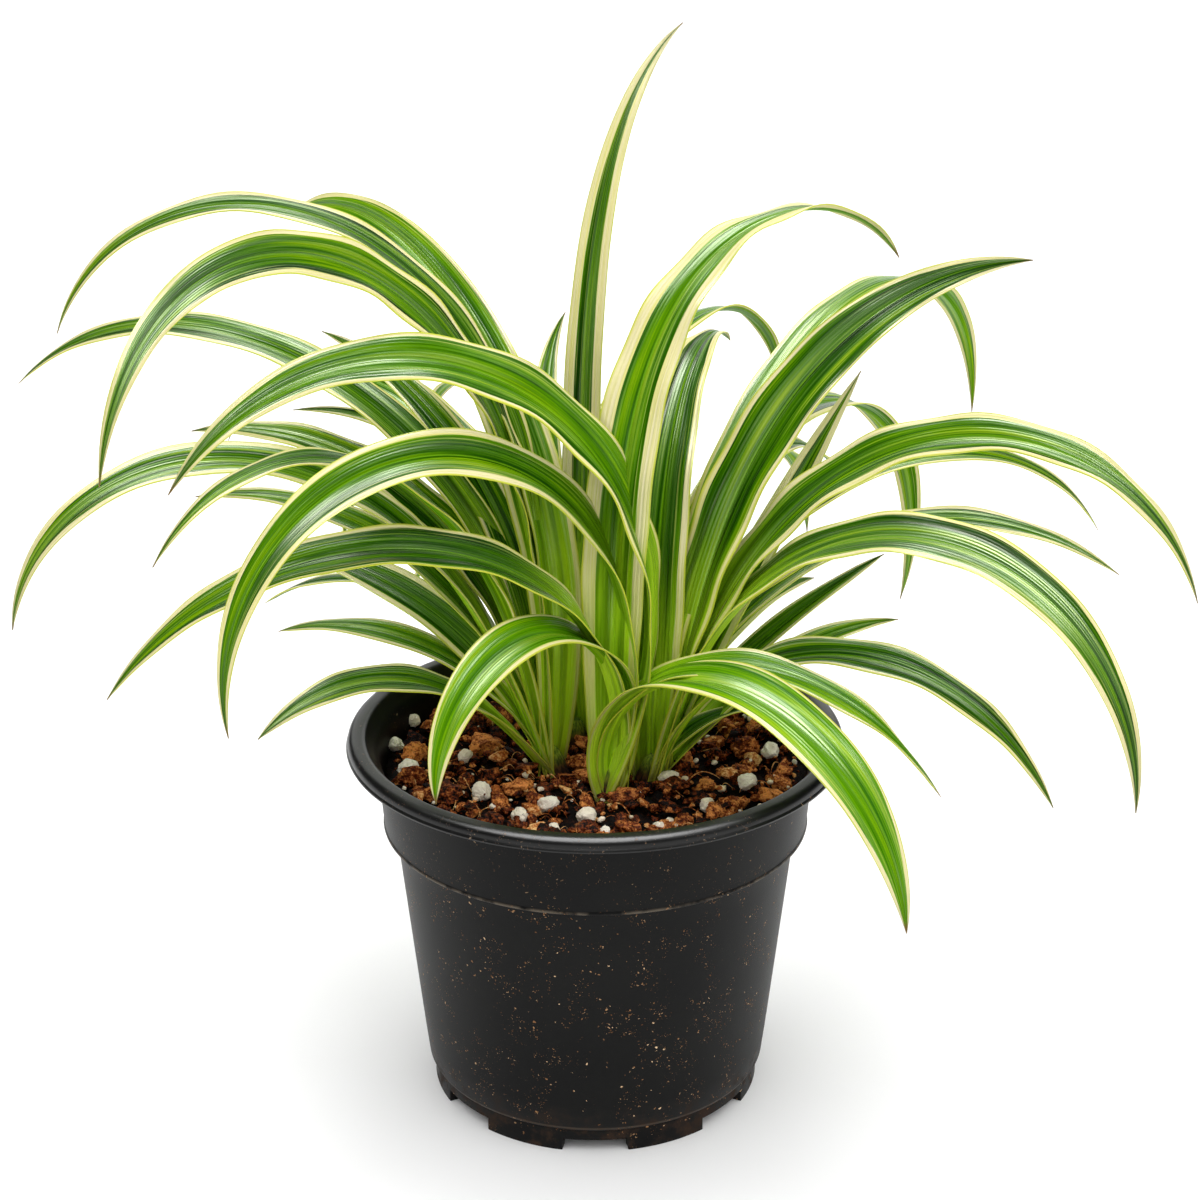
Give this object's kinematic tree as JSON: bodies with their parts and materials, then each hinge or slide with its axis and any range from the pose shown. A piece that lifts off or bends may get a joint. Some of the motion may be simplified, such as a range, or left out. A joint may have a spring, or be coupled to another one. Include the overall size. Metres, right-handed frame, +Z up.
{
  "type": "potted spider plant",
  "caption": "House plant with long arching cream-edged strap leaves, in a round black nursery pot filled with potting mix.",
  "frame": {"origin": "on the surface the pot stands on, under the middle of the plant's whole outline", "axes": "+Z up, +X to the right and -Y towards the viewer, who faces the open side of the plant"},
  "size_m": [0.3466, 0.2648, 0.3204],
  "materials": {
    "pot": "satin black moulded plastic with fine tan flecks",
    "potting_mix": "rough, dark brown coir and bark with white perlite grains",
    "leaf": "glossy mid green with cream margins and pale streaks"
  },
  "bodies": {
    "root": {"pot": "pot", "potting_mix": "potting_mix", "shoot_left": "leaf", "shoot_front": "leaf", "shoot_right": "leaf", "shoot_back_left": "leaf", "shoot_back_right": "leaf"}
  },
  "joints": []
}
